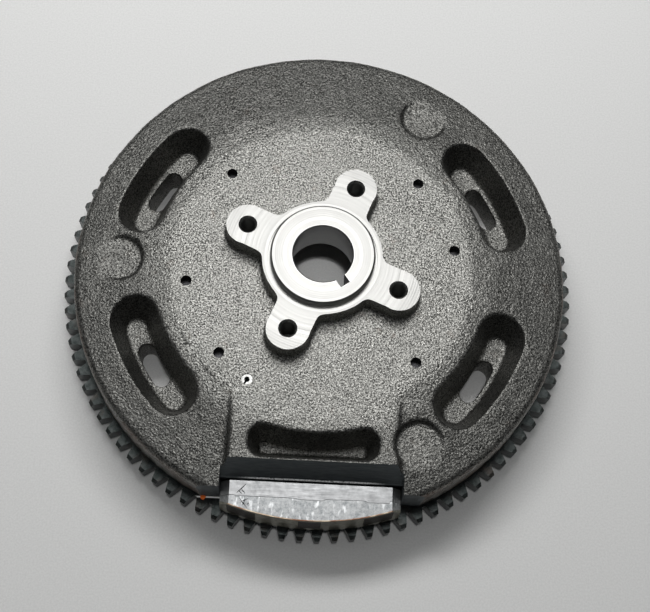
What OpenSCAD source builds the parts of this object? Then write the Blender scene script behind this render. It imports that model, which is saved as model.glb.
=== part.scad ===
// Engine flywheel: iron casting with a four-lug fan seat, shrunk-on starter ring gear,
// ignition magnet set in the rim and an alternator rotor behind the web.
// +Z runs along the crankshaft axis towards the fan side. The rear face of the rim lies on Z = 0.
// The ignition magnet faces -Y.

/* [Rim and web] */
// Diameter of the rim at its front edge
rim_d = 230; // [226:1:234]
// Height of the rim, from its rear face to its front edge
rim_h = 30; // [29:0.5:32]
// Growth of the rim's radius from the front edge to the gear shoulder
rim_draft = 0.8; // [0.2:0.1:1.2]
// Radius of the rim's rounded front edge
rim_round = 3.5; // [2:0.5:5]
// Diameter of the flat middle of the web
web_d = 140; // [134:1:146]
// Height of the flat web above the rim's front edge
web_rise = 6.6; // [5:0.2:8]
// Thickness of the web
web_t = 9; // [8:0.5:10]

/* [Hub and lugs] */
// Diameter of the turned boss that centres the fan
boss_d = 47.5; // [44:0.5:50]
// Height of the boss above the lugs
boss_rise = 4; // [3:0.5:6]
// Diameter of the disc that joins the lugs
hub_disc_d = 54.8; // [52:0.2:58]
// Height of the machined lugs above the web
lug_rise = 10.9; // [8:0.1:14]
// Bolt circle of the lug holes
lug_pcd = 75; // [72:1:80]
// Radius of a lug's round end
lug_end_r = 9.8; // [9:0.1:11]
// Half width of a lug's straight part
lug_half_w = 9.6; // [8:0.1:9.8]
// Fillet between the disc and a lug
lug_fillet = 4; // [2:0.5:6]
// Diameter of a lug's tapped hole
lug_hole_d = 7; // [6:0.1:8]
// Direction of the first lug
lug_angle = 68; // [60:1:75]

/* [Crankshaft bore] */
// Diameter of the taper at the boss end
bore_d_front = 26.9; // [25:0.1:28]
// Diameter of the taper at the engine end
bore_d_rear = 30.4; // [29:0.1:32]
// Width of the keyway
key_w = 4.8; // [4:0.1:5]
// Distance from the axis to the keyway's bottom
key_reach = 17.8; // [16:0.1:18.5]
// Direction of the keyway
key_angle = 306.5; // [300:0.5:315]

/* [Pockets and pads] */
// Inner radius of a pocket's mouth
pocket_r_in = 78.2; // [78:0.1:80]
// Outer radius of a pocket's mouth
pocket_r_out = 100.8; // [98:0.1:101]
// Half of the angle between the centres of a pocket's round ends
pocket_half_angle = 12.4; // [11:0.2:13]
// Half length of the floor of the pocket beside the magnet set
magnet_pocket_half_l = 24.8; // [23:0.1:26]
// Angle from the magnet set to the nearer pockets
pocket_step_near = 58.3; // [57:0.1:60]
// Angle from the magnet set to the farther pockets
pocket_step_far = 118.3; // [117:0.1:120]
// Height of a pocket's floor above the rear face
pocket_floor_z = 17; // [16:0.5:19]
// How far a pocket's walls lean in from mouth to floor
pocket_lean = 6; // [5:0.1:6.5]
// Radius of the slots' centre line
slot_r = 88.6; // [88.6:0.1:89.5]
// Width of a slot
slot_w = 8; // [6:0.5:8]
// Length of a slot
slot_len = 22.5; // [18:0.5:24]
// Radius of a pad
pad_r = 11; // [9:0.5:12]
// Distance of a pad's centre from the axis
pad_at = 94; // [92:0.5:96]

/* [Ring gear] */
// Number of teeth
gear_teeth = 96; // [90:2:98]
// Module of the teeth
gear_module = 2.5; // [2.3:0.05:2.5]
// Thickness of the gear
gear_t = 9.5; // [8:0.5:9.5]
// Height of the gear's rear face above the rim's rear face
gear_z = 2; // [1:0.5:2]
// Diameter of the gear's seat on the rim
gear_seat_d = 225; // [222:1:226]
// Lead-in chamfer on the teeth
gear_chamfer = 1.6; // [0.5:0.1:2]

/* [Ignition magnet set] */
// Width of the recess in the rim
recess_w = 81; // [78:1:84]
// Distance of the recess's inner wall from the axis
recess_y = 98.3; // [97.5:0.1:99]
// Distance of the flats beside the recess from the axis, at the front edge
flat_y = 103; // [102:0.5:104]
// Height of the set's top face above the rear face
set_top_z = 26; // [24:0.5:27]
// Width of the set's top face
set_top_w = 72; // [68:1:74]
// Depth of the backing bar
backing_bar_t = 6.4; // [5:0.2:7]

/* [Alternator rotor] */
// Number of magnets
magnet_count = 12; // [8:2:14]
// Inner radius of the magnets
magnet_r_in = 68.6; // [68.6:0.1:69.4]
// Thickness of a magnet
magnet_t = 6; // [5:0.1:6]
// Length of a magnet along the axis
magnet_len = 18; // [14:1:19]
// Angle left between two magnets
magnet_gap = 4; // [3:0.5:6]

/* [Hidden] */
$fn = 96;
eps = 0.01;
over = 2;
outside = 10;

rim_r = rim_d / 2;
web_r = web_d / 2;
web_z = rim_h + web_rise;
web_back_z = web_z - web_t;
lug_z = web_z + lug_rise;
boss_z = lug_z + boss_rise;
boss_r = boss_d / 2;
boss_chamfer = 0.8;
boss_groove = [1.1, 0.8];
hub_back_r = 30;
hub_back_drop = 1.9;
hub_back_z = web_back_z - hub_back_drop;
lug_hole_chamfer = 0.6;
magnet_angle = 270;
slot_angles = [for (side = [-1, 1], step = [pocket_step_near, pocket_step_far]) magnet_angle + side * step];
magnet_pocket_lean = 4.2;
magnet_pocket_corner_r = 2;
magnet_pocket_outer_y = 85.8;
magnet_pocket_inner_r = 82.8;
pad_angles = [60, 180, 300];
pad_clear = 1;

gear_seat_r = gear_seat_d / 2;
gear_top_z = gear_z + gear_t;
gear_pitch_r = gear_teeth * gear_module / 2;
gear_tip_r = gear_pitch_r + gear_module;
gear_dedendum = 1.25;
gear_root_r = gear_pitch_r - gear_dedendum * gear_module;
gear_pressure_angle = 20;

cavity_r = 77.5;
web_hole_circle_r = 62.75;
web_hole_r = 2.5;
web_hole_angles = [10, 45, 135, 190, 225, 315];
pin_at = [63.9, 241];
pin_r = 2.5;
pin_len = 14;
pin_recess = 0.6;
pin_slot_w = 0.9;

fit_gap = 0.3;
wall_gap = 1;
flat_lean = 1.8;
shelf_w = 74.6;
shelf_side_lean = 2;
set_half_w = recess_w / 2 - fit_gap;
set_bottom_z = gear_top_z + 0.5;
set_back_y = recess_y + wall_gap;
seam_y = set_back_y + backing_bar_t;
set_face_r_top = 115.6;
set_face_r_bottom = 117.6;
set_shoulder_z = set_top_z - 5;
recess_lip_y = 91;
pole_t = 5;
pole_x = [24, 37];
ignition_magnet_w = 10;
pole_margin_z = 2;
set_screw_x = 20;
set_screw_y = 108.5;
set_screw_r = 2.5;
set_screw_room = [4.5, 5];
set_screw_head = [4.25, 0.5];
set_screw_socket = [2.3, 3];
set_screw_tip_z = 21;

rotor_wall_r = magnet_r_in + magnet_t;
rotor_r = cavity_r - 0.4;
rotor_plate_t = 3;
rotor_plate_r = 57;
rotor_plate_z = web_back_z - rotor_plate_t;
rotor_open_z = 3;
cage_lip = 1.6;
cage_sleeve = 0.6;
cage_play = 0.4;
magnet_z = rotor_open_z + cage_lip;
cage_top_z = magnet_z + magnet_len + cage_lip;
rotor_head = [4.5, 2.75];
rotor_head_crown_r = 2.7;
rotor_socket = [1.6, 1.6];
rotor_screw_tip_gap = 5;

// Height of the front face at radius r: flat in the middle, then a cone down to the rim's edge.
function face_z(r) = r <= web_r ? web_z : web_z - web_rise * (r - web_r) / (rim_r - web_r);

// Places children at radius r in direction a.
module at_polar(r, a) {
    rotate([0, 0, a]) translate([r, 0, 0]) children();
}

// A pocket or slot along an arc, between z0 and z1. Its half width grows from w0 to w1.
module arc_pocket(r, half_angle, w0, w1, z0, z1) {
    rotate([0, 0, -half_angle])
        rotate_extrude(angle = 2 * half_angle)
            polygon([[r - w0, z0], [r + w0, z0], [r + w1, z1], [r - w1, z1]]);
    for (end = [-1, 1])
        at_polar(r, end * half_angle)
            translate([0, 0, z0]) cylinder(h = z1 - z0, r1 = w0, r2 = w1);
}

// Half section of the casting before anything is cut from it.
module casting_section() {
    edge = [rim_r - rim_round, rim_h + web_rise * rim_round / (rim_r - web_r) - rim_round];
    polygon(concat(
        [[0, web_back_z], [cavity_r, web_back_z], [cavity_r, 0], [gear_seat_r, 0],
         [gear_seat_r, gear_top_z], [rim_r + rim_draft, gear_top_z]],
        [for (a = [0:15:75]) edge + rim_round * [cos(a), sin(a)]],
        [[web_r, web_z], [0, web_z]]));
}

// Plan of the hub disc with its four lugs and their fillets.
module lug_plan() {
    fillet_y = lug_half_w + lug_fillet;
    fillet_x = sqrt(pow(hub_disc_d / 2 + lug_fillet, 2) - pow(fillet_y, 2));
    fillet_at = [fillet_x, fillet_y];
    on_disc = fillet_at * (hub_disc_d / 2) / (hub_disc_d / 2 + lug_fillet);
    circle(d = hub_disc_d);
    for (quarter = [0:3])
        rotate(lug_angle + 90 * quarter) {
            translate([0, -lug_half_w]) square([lug_pcd / 2, 2 * lug_half_w]);
            translate([lug_pcd / 2, 0]) circle(r = lug_end_r);
            for (side = [0, 1])
                mirror([0, side])
                    difference() {
                        polygon([[on_disc[0] - 1, 0], on_disc, fillet_at, [fillet_x, 0]]);
                        translate(fillet_at) circle(r = lug_fillet);
                    }
        }
}

// Tapered crankshaft bore with its keyway.
module crank_bore() {
    length = boss_z - hub_back_z;
    slope = (bore_d_rear - bore_d_front) / 2 / length;
    translate([0, 0, hub_back_z - over])
        cylinder(h = length + 2 * over,
                 r1 = bore_d_rear / 2 + slope * over,
                 r2 = bore_d_front / 2 - slope * over);
    rotate([0, 0, key_angle])
        translate([0, -key_w / 2, hub_back_z - over])
            cube([key_reach, key_w, length + 2 * over]);
}

// Room in the rim for the ignition magnet set, and the flats on both sides of it.
module magnet_recess() {
    outer_y = rim_r + outside;
    translate([-recess_w / 2, 0, 0])
        rotate([90, 0, 90])
            linear_extrude(recess_w)
                polygon([[-outer_y, gear_top_z], [-recess_y, gear_top_z], [-recess_y, set_top_z],
                         [-recess_lip_y, web_z + eps], [-outer_y, web_z + eps]]);
    translate([-rim_r, 0, 0])
        rotate([90, 0, 90])
            linear_extrude(rim_d)
                polygon([[-outer_y, gear_top_z], [-flat_y - flat_lean, gear_top_z], [-flat_y, rim_h],
                         [-flat_y, web_z + eps], [-outer_y, web_z + eps]]);
}

// Flat shelf at web level that carries the web out to the magnet recess.
module magnet_shelf() {
    start_y = sqrt(pow(web_r, 2) - pow(shelf_w / 2, 2)) - 3 * over;
    foot_w = shelf_w + 2 * shelf_side_lean;
    translate([0, -start_y, 0])
        rotate([90, 0, 0])
            linear_extrude(recess_y - start_y)
                polygon([[-foot_w / 2, rim_h], [foot_w / 2, rim_h],
                         [shelf_w / 2, web_z], [-shelf_w / 2, web_z]]);
}

// Pocket beside the magnet set: straight outside, round corners, and an inner wall that follows the web.
module magnet_pocket() {
    height = web_z + over - pocket_floor_z;
    lean = magnet_pocket_lean * height / (web_z - pocket_floor_z);
    corner_x = magnet_pocket_half_l - magnet_pocket_corner_r;
    corner_y = magnet_pocket_outer_y - magnet_pocket_corner_r;
    inner_y = sqrt(pow(magnet_pocket_inner_r + magnet_pocket_corner_r, 2) - pow(corner_x, 2));
    translate([0, 0, pocket_floor_z]) {
        for (x = [-corner_x, corner_x], y = [-corner_y, -inner_y])
            translate([x, y, 0])
                cylinder(h = height, r1 = magnet_pocket_corner_r, r2 = magnet_pocket_corner_r + lean);
        translate([0, -inner_y, 0])
            rotate([90, 0, 0])
                linear_extrude(corner_y - inner_y)
                    polygon([[-magnet_pocket_half_l, 0], [magnet_pocket_half_l, 0],
                             [magnet_pocket_half_l + lean, height], [-magnet_pocket_half_l - lean, height]]);
        intersection() {
            translate([-corner_x, 0, 0])
                rotate([90, 0, 90])
                    linear_extrude(2 * corner_x)
                        polygon([[0, 0], [-magnet_pocket_outer_y, 0],
                                 [-magnet_pocket_outer_y - lean, height], [0, height]]);
            rotate_extrude()
                polygon([[magnet_pocket_inner_r, 0], [rim_r, 0], [rim_r, height],
                         [magnet_pocket_inner_r - lean, height]]);
        }
    }
}

// Drafted pockets, the slots in four of their floors, and the flat pads between them.
module pockets() {
    mouth_z = face_z((pocket_r_in + pocket_r_out) / 2);
    lean = pocket_lean / (mouth_z - pocket_floor_z);
    half_w = (pocket_r_out - pocket_r_in) / 2;
    top_z = web_z + over;
    for (a = slot_angles)
        rotate([0, 0, a])
            arc_pocket((pocket_r_in + pocket_r_out) / 2, pocket_half_angle, half_w - pocket_lean,
                       half_w - pocket_lean + lean * (top_z - pocket_floor_z), pocket_floor_z, top_z);
    magnet_pocket();
    for (a = slot_angles)
        rotate([0, 0, a])
            arc_pocket(slot_r, asin((slot_len - slot_w) / 2 / slot_r), slot_w / 2, slot_w / 2,
                       -over, pocket_floor_z + over);
    for (a = pad_angles)
        at_polar(pad_at, a)
            translate([0, 0, face_z(pad_at + pad_r - pad_clear)]) cylinder(h = web_z, r = pad_r);
}

// Every hole that is drilled in the machined casting.
module drilled_holes() {
    for (quarter = [0:3])
        at_polar(lug_pcd / 2, lug_angle + 90 * quarter) {
            translate([0, 0, web_back_z - over]) cylinder(h = lug_z, d = lug_hole_d);
            translate([0, 0, lug_z - lug_hole_chamfer])
                cylinder(h = 2 * lug_hole_chamfer,
                         r1 = lug_hole_d / 2, r2 = lug_hole_d / 2 + 2 * lug_hole_chamfer);
        }
    for (a = web_hole_angles)
        at_polar(web_hole_circle_r, a)
            translate([0, 0, web_back_z - over]) cylinder(h = web_t + 2 * over, r = web_hole_r);
    at_polar(pin_at[0], pin_at[1])
        translate([0, 0, web_back_z - over]) cylinder(h = web_t + 2 * over, r = pin_r);
    for (side = [-1, 1])
        translate([side * set_screw_x, -set_screw_y, 0]) {
            translate([0, 0, -over]) cylinder(h = gear_top_z + 2 * over, r = set_screw_r);
            translate([0, 0, -over]) cylinder(h = set_screw_room[1] + over, r = set_screw_room[0]);
        }
}

// One iron casting, machined on the lugs, boss, bore, gear seat and rear.
module flywheel_casting() {
    color("dimgray")
    difference() {
        union() {
            rotate_extrude() casting_section();
            magnet_shelf();
            translate([0, 0, web_z - eps]) linear_extrude(lug_rise + eps) lug_plan();
            translate([0, 0, web_z]) cylinder(h = boss_z - boss_chamfer - web_z, r = boss_r);
            translate([0, 0, boss_z - boss_chamfer])
                cylinder(h = boss_chamfer, r1 = boss_r, r2 = boss_r - boss_chamfer);
            translate([0, 0, hub_back_z]) cylinder(h = web_t, r = hub_back_r);
        }
        crank_bore();
        translate([0, 0, lug_z - boss_groove[1]])
            rotate_extrude() translate([boss_r, 0]) square([boss_groove[0], boss_groove[1] + over]);
        pockets();
        magnet_recess();
        drilled_holes();
    }
}

// Plan of the ring gear, with one trapezoid for each tooth.
module gear_plan() {
    half_pitch = 90 / gear_teeth;
    flank = tan(gear_pressure_angle);
    tip_angle = half_pitch - flank * (gear_tip_r - gear_pitch_r) / gear_tip_r * 180 / PI;
    root_angle = half_pitch + flank * (gear_pitch_r - gear_root_r) / gear_root_r * 180 / PI;
    polygon([for (i = [0:gear_teeth - 1], corner = [[-1, 0], [-1, 1], [1, 1], [1, 0]])
        let (a = i * 360 / gear_teeth + half_pitch * 2 + corner[0] * (corner[1] ? tip_angle : root_angle),
             r = corner[1] ? gear_tip_r : gear_root_r)
        r * [cos(a), sin(a)]]);
}

// Steel gear for the starter, shrunk on the rim against its shoulder.
module starter_ring_gear() {
    color("slategray")
    translate([0, 0, gear_z])
        difference() {
            intersection() {
                linear_extrude(gear_t) gear_plan();
                rotate_extrude()
                    polygon([[0, 0], [gear_tip_r + eps, 0], [gear_tip_r + eps, gear_t - gear_chamfer],
                             [gear_tip_r - gear_chamfer, gear_t], [0, gear_t]]);
            }
            translate([0, 0, -over]) cylinder(h = gear_t + 2 * over, r = gear_seat_r, $fn = 192);
        }
}

// Outer shape of the magnet set: shoulders at both ends and a face that follows the rim.
module magnet_set_body() {
    intersection() {
        translate([0, -seam_y + backing_bar_t, 0])
            rotate([90, 0, 0])
                linear_extrude(rim_r)
                    polygon([[-set_half_w, set_bottom_z], [set_half_w, set_bottom_z],
                             [set_half_w, set_shoulder_z], [set_top_w / 2, set_top_z],
                             [-set_top_w / 2, set_top_z], [-set_half_w, set_shoulder_z]]);
        translate([0, 0, set_bottom_z])
            cylinder(h = set_top_z - set_bottom_z,
                     r1 = set_face_r_bottom, r2 = set_face_r_top, $fn = 192);
    }
}

// Room for a pole shoe in the set's outer face, on the side given by 1 or -1.
module pole_room(side) {
    x = side > 0 ? pole_x[0] : -pole_x[1];
    intersection() {
        difference() {
            translate([x, -rim_r - outside, set_bottom_z + pole_margin_z])
                cube([pole_x[1] - pole_x[0], rim_r, set_top_z - set_bottom_z - 2 * pole_margin_z]);
            cylinder(h = set_top_z, r = set_face_r_top - pole_t, $fn = 192);
        }
        magnet_set_body();
    }
}

// Room for the magnet in the middle of the set's outer face.
module ignition_magnet_room() {
    intersection() {
        translate([-ignition_magnet_w / 2, -rim_r - outside, set_bottom_z + pole_margin_z])
            cube([ignition_magnet_w, rim_r - seam_y + outside - pole_margin_z,
                  set_top_z - set_bottom_z - 2 * pole_margin_z]);
        magnet_set_body();
    }
}

// Room for the two screws that hold the set down, from behind the rim.
module set_screw_holes() {
    for (side = [-1, 1])
        translate([side * set_screw_x, -set_screw_y, 0])
            cylinder(h = set_screw_tip_z, r = set_screw_r);
}

// Die-cast carrier that holds the magnet and the pole shoes.
module magnet_carrier() {
    color("lightgray")
    difference() {
        intersection() {
            magnet_set_body();
            translate([-rim_r, -2 * rim_r - seam_y, 0]) cube([rim_d, 2 * rim_r, rim_h]);
        }
        for (side = [-1, 1]) pole_room(side);
        ignition_magnet_room();
        set_screw_holes();
    }
}

// Steel bar behind the carrier, against the recess's inner wall.
module magnet_backing_bar() {
    color("silver")
    intersection() {
        magnet_set_body();
        translate([-rim_r, -seam_y, 0]) cube([rim_d, backing_bar_t, rim_h]);
    }
}

module ignition_magnet() {
    color("darkslategray") ignition_magnet_room();
}

module pole_shoe_leading() {
    color("tan") pole_room(1);
}

module pole_shoe_trailing() {
    color("tan") pole_room(-1);
}

// Two cap screws, from counterbores in the rim's rear face.
module magnet_screws() {
    color("dimgray")
    for (side = [-1, 1])
        translate([side * set_screw_x, -set_screw_y, 0]) {
            translate([0, 0, set_screw_room[1]])
                cylinder(h = set_screw_tip_z - set_screw_room[1], r = set_screw_r);
            difference() {
                translate([0, 0, set_screw_head[1]])
                    cylinder(h = set_screw_room[1] - set_screw_head[1], r = set_screw_head[0]);
                translate([0, 0, -eps])
                    cylinder(h = set_screw_socket[1], r = set_screw_socket[0], $fn = 6);
            }
        }
}

// Slotted spring pin, flush with the web.
module timing_pin() {
    color("silver")
    at_polar(pin_at[0], pin_at[1])
        translate([0, 0, web_z - pin_recess - pin_len])
            difference() {
                cylinder(h = pin_len, r = pin_r);
                translate([0, 0, -over]) cylinder(h = pin_len + 2 * over, r = pin_r / 2);
                translate([0, -pin_slot_w / 2, -over]) cube([pin_r + over, pin_slot_w, pin_len + 2 * over]);
            }
}

// Flat steel plate that carries the alternator rotor, screwed under the web.
module rotor_plate() {
    color("darkgray")
    translate([0, 0, rotor_plate_z])
        difference() {
            cylinder(h = rotor_plate_t, r = rotor_r, $fn = 192);
            translate([0, 0, -over]) cylinder(h = rotor_plate_t + 2 * over, r = rotor_plate_r);
            for (a = web_hole_angles)
                at_polar(web_hole_circle_r, a)
                    translate([0, 0, -over]) cylinder(h = rotor_plate_t + 2 * over, r = web_hole_r);
            at_polar(pin_at[0], pin_at[1])
                translate([0, 0, -over]) cylinder(h = rotor_plate_t + 2 * over, r = pin_r);
        }
}

// Steel band welded to the plate, which backs the magnets.
module rotor_band() {
    color("darkgray")
    translate([0, 0, rotor_open_z])
        difference() {
            cylinder(h = rotor_plate_z - rotor_open_z, r = rotor_r, $fn = 192);
            translate([0, 0, -over])
                cylinder(h = rotor_plate_z - rotor_open_z + 2 * over, r = rotor_wall_r, $fn = 192);
        }
}

// One arc magnet, the i-th of the ring.
module rotor_magnet(i) {
    span = 360 / magnet_count - magnet_gap;
    color(i % 2 == 0 ? "dimgray" : "gray")
    rotate([0, 0, (i - 0.5) * 360 / magnet_count - span / 2])
        translate([0, 0, magnet_z])
            rotate_extrude(angle = span)
                translate([magnet_r_in, 0]) square([magnet_t, magnet_len]);
}

// Moulded cage that spaces the magnets and covers their inner faces and ends.
module magnet_cage() {
    room_angle = 360 / magnet_count - magnet_gap + cage_play;
    sleeve_r = magnet_r_in - cage_sleeve;
    color("black")
    difference() {
        rotate_extrude($fn = 192)
            translate([sleeve_r, rotor_open_z])
                square([rotor_wall_r - sleeve_r, cage_top_z - rotor_open_z]);
        for (i = [1:magnet_count])
            rotate([0, 0, (i - 0.5) * 360 / magnet_count - room_angle / 2])
                translate([0, 0, magnet_z])
                    rotate_extrude(angle = room_angle)
                        translate([magnet_r_in, 0]) square([magnet_t + over, magnet_len]);
    }
}

// Six button-head screws that hold the rotor's plate under the web.
module rotor_screws() {
    color("dimgray")
    for (a = web_hole_angles)
        at_polar(web_hole_circle_r, a) {
            translate([0, 0, rotor_plate_z])
                cylinder(h = web_z - rotor_screw_tip_gap - rotor_plate_z, r = web_hole_r);
            difference() {
                translate([0, 0, rotor_plate_z - rotor_head[1]])
                    cylinder(h = rotor_head[1], r1 = rotor_head_crown_r, r2 = rotor_head[0]);
                translate([0, 0, rotor_plate_z - rotor_head[1] - eps])
                    cylinder(h = rotor_socket[1], r = rotor_socket[0], $fn = 6);
            }
        }
}

flywheel_casting();
starter_ring_gear();
magnet_carrier();
magnet_backing_bar();
ignition_magnet();
pole_shoe_leading();
pole_shoe_trailing();
magnet_screws();
timing_pin();
rotor_plate();
rotor_band();
magnet_cage();
rotor_screws();
for (i = [1:magnet_count])
    rotor_magnet(i);
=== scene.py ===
"""Looks of the engine flywheel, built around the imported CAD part.

Lengths in this file are millimetres in the part's own frame, and MM turns them into metres.
The order is: camera, light and floor, then materials, then the detailed pieces.
"""
import math

import bpy
import numpy as np
from mathutils import Matrix, Vector, noise


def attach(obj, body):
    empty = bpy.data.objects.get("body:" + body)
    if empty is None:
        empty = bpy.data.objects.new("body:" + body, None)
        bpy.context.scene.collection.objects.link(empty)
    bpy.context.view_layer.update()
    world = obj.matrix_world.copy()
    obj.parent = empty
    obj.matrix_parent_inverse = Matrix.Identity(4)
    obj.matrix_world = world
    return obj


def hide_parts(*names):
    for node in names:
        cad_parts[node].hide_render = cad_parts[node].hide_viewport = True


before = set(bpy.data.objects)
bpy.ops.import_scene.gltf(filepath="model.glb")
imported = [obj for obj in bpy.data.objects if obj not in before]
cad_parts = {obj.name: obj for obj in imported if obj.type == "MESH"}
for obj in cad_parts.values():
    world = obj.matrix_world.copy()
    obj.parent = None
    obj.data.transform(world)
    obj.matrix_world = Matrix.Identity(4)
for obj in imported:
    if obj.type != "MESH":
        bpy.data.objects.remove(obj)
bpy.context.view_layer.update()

MM = 0.001
CUT_MARGIN = 2.0
scene = bpy.context.scene

# ---------------------------------------------------------------- sizes shared with the CAD part
RIM_R, RIM_H, RIM_SHOULDER_R, RIM_ROUND = 115.0, 30.0, 115.8, 3.5
WEB_R, WEB_Z, WEB_BACK_Z = 70.0, 36.6, 27.6
LUG_Z, BOSS_Z, BOSS_R, BOSS_CHAMFER, GROOVE = 47.5, 51.5, 23.75, 0.8, (1.1, 0.8)
BORE_TOP_R, BORE_BACK_R, BORE_TOP_CHAMFER, BORE_BACK_CHAMFER = 13.45, 15.2, 0.5, 0.8
HUB_BACK_R, HUB_BACK_Z = 30.0, 25.7
CAVITY_R = 77.5
GEAR_SEAT_R, GEAR_TOP_Z = 112.5, 11.5
LUG_ANGLE, LUG_AT, LUG_HALF_W, LUG_END_R, LUG_FILLET, HUB_DISC_R = 68.0, 37.5, 9.6, 9.8, 4.0, 27.4
LUG_HOLE_R, THREAD_DEPTH, THREAD_PITCH = 3.35, 0.3, 1.25
SHELF_HALF_W, SHELF_FOOT_HALF_W, SHELF_END_Y = 37.3, 39.3, 101.0
POCKET_R, POCKET_MOUTH_W, POCKET_FLOOR_W, POCKET_FLOOR_Z = 89.5, 11.3, 5.3, 17.0
POCKET_ANGLES = [(270 - 58.3, 12.4), (270 + 58.3, 12.4), (270 - 118.3, 12.4), (270 + 118.3, 12.4)]
# Pocket beside the magnet set, at its floor and at its mouth:
# z, half length, inner radius, outer y, corner radius.
MAGNET_POCKET = ((POCKET_FLOOR_Z, 24.8, 82.8, 85.8, 2.0), (WEB_Z, 29.0, 78.6, 90.0, 6.2))
SLOT_R, SLOT_HALF_W, SLOT_HALF_ANGLE = 88.6, 4.0, 4.69
PAD_R, PAD_AT, PAD_ANGLES = 11.0, 94.0, (60, 180, 300)
WEB_HOLE_AT, WEB_HOLE_R, WEB_HOLE_ANGLES = 62.75, 2.5, (10, 45, 135, 190, 225, 315)
PIN_AT, PIN_ANGLE, PIN_R = 63.9, 241.0, 2.5
KEY_ANGLE, KEY_W, KEY_REACH = 306.5, 4.8, 17.8
RECESS_HALF_W, RECESS_Y, RECESS_LIP_Y, RECESS_LEDGE = 40.5, 98.3, 91.0, 0.55
FLAT_Y, FLAT_LEAN = 103.0, 1.8
SET_HALF_W, SET_TOP_HALF_W, SET_BACK_Y = 40.2, 36.0, 99.3
SET_FOOT_Z, SET_SHOULDER_Z, SET_TOP_Z = 12.0, 21.0, 26.0
SET_FOOT_R, SET_TOP_R = 117.6, 115.6
SET_SCREW_X, SET_SCREW_Y, SET_SCREW_R, SET_SCREW_ROOM_R, SET_SCREW_ROOM_Z = 20.0, 108.5, 2.5, 4.5, 5.0
POLE_X, POLE_BACK_R, MAGNET_HALF_W, MAGNET_BACK_Y, MAGNET_ROOM_Z = (24.0, 37.0), 110.6, 5.0, 107.7, (14, 24)
# The joint between bar and carrier, seen from the front, and the scuffs at its left end.
SEAM = [(-50, -105.8), (-33.2, -105.8), (-32.8, -106.05), (-9, -105.95), (-3.4, -106.6), (5.6, -106.6),
        (6.4, -106.0), (24.1, -105.75), (25, -106.5), (34.6, -106.4), (35.1, -105.6), (50, -105.6)]
BAR_SCUFFS = [((-32.6, -104.8), (-28.7, -100.7)), ((-32.0, -103.6), (-30.2, -105.2)),
              ((-30.6, -103.2), (-29.0, -104.9))]
CARRIER_SCUFFS = [((-31.4, -107.0), (-27.6, -111.3)), ((-31.0, -108.9), (-27.4, -107.0)),
                  ((-29.9, -110.2), (-28.7, -107.6)), ((-28.0, -109.9), (-26.9, -108.9))]


def face_z(r):
    """Height of the front face at radius r: flat in the middle, a cone outside."""
    return WEB_Z if r <= WEB_R else WEB_Z - (WEB_Z - RIM_H) * (r - WEB_R) / (RIM_R - WEB_R)


def polar(r, degrees):
    a = math.radians(degrees)
    return Vector((r * math.cos(a), r * math.sin(a)))


# ---------------------------------------------------------------- mesh helpers
def mesh_object(name, verts, faces):
    mesh = bpy.data.meshes.new(name)
    mesh.from_pydata([Vector(v) * MM for v in verts], [], faces)
    mesh.update()
    obj = bpy.data.objects.new(name, mesh)
    scene.collection.objects.link(obj)
    return obj


def loft(name, rings):
    """Closed solid through rings of equally many points, anticlockwise seen from the last ring."""
    n = len(rings[0])
    faces = [list(range(n))[::-1], [(len(rings) - 1) * n + i for i in range(n)]]
    for k in range(len(rings) - 1):
        for i in range(n):
            j = (i + 1) % n
            faces.append([k * n + i, k * n + j, (k + 1) * n + j, (k + 1) * n + i])
    return mesh_object(name, [p for ring in rings for p in ring], faces)


def anticlockwise(outline):
    area = sum(a[0] * b[1] - b[0] * a[1] for a, b in zip(outline, outline[1:] + outline[:1]))
    return outline if area > 0 else outline[::-1]


def prism_z(name, outline, z0, z1):
    outline = anticlockwise([tuple(p) for p in outline])
    return loft(name, [[(x, y, z) for x, y in outline] for z in (z0, z1)])


def prism_x(name, outline_yz, x0, x1):
    outline = anticlockwise(outline_yz)
    return loft(name, [[(x, y, z) for y, z in outline] for x in (x0, x1)])


def lathe(name, section, steps=288):
    """Solid turned from a closed section of (r, z) points. Points on the axis become one vertex."""
    section = anticlockwise(section)
    verts, rings = [], []
    for r, z in section:
        if r < 1e-6:
            rings.append([len(verts)] * steps)
            verts.append((0, 0, z))
        else:
            rings.append(list(range(len(verts), len(verts) + steps)))
            turn = [math.tau * k / steps for k in range(steps)]
            verts += [(r * math.cos(a), r * math.sin(a), z) for a in turn]
    faces = []
    for low, high in zip(rings, rings[1:] + rings[:1]):
        on_axis = (low[0] == low[1], high[0] == high[1])
        if all(on_axis):
            continue
        for k in range(steps):
            j = (k + 1) % steps
            if on_axis[0]:
                faces.append([low[0], high[j], high[k]])
            elif on_axis[1]:
                faces.append([low[k], low[j], high[0]])
            else:
                faces.append([low[k], low[j], high[j], high[k]])
    return mesh_object(name, verts, faces)


def rod(name, x, y, sections, steps=48):
    """Turned solid about the vertical line through (x, y), from (r, z) pairs going up."""
    obj = lathe(name, [(0, sections[0][1])] + list(sections) + [(0, sections[-1][1])], steps)
    obj.data.transform(Matrix.Translation(Vector((x, y, 0)) * MM))
    return obj


def bake(obj):
    """Turns the object's modifiers into its mesh."""
    graph = bpy.context.evaluated_depsgraph_get()
    mesh = bpy.data.meshes.new_from_object(obj.evaluated_get(graph))
    obj.modifiers.clear()
    obj.data = mesh


def combine(target, tools, operation):
    """Adds tools to target, or cuts them from it, and removes them."""
    for tool in tools:
        step = target.modifiers.new(operation.lower(), "BOOLEAN")
        step.solver = "MANIFOLD"
        step.operation = operation
        step.object = tool
    bake(target)
    for tool in tools:
        bpy.data.objects.remove(tool)


def cut(target, *tools):
    combine(target, tools, "DIFFERENCE")


def add(target, *tools):
    combine(target, tools, "UNION")


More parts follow.
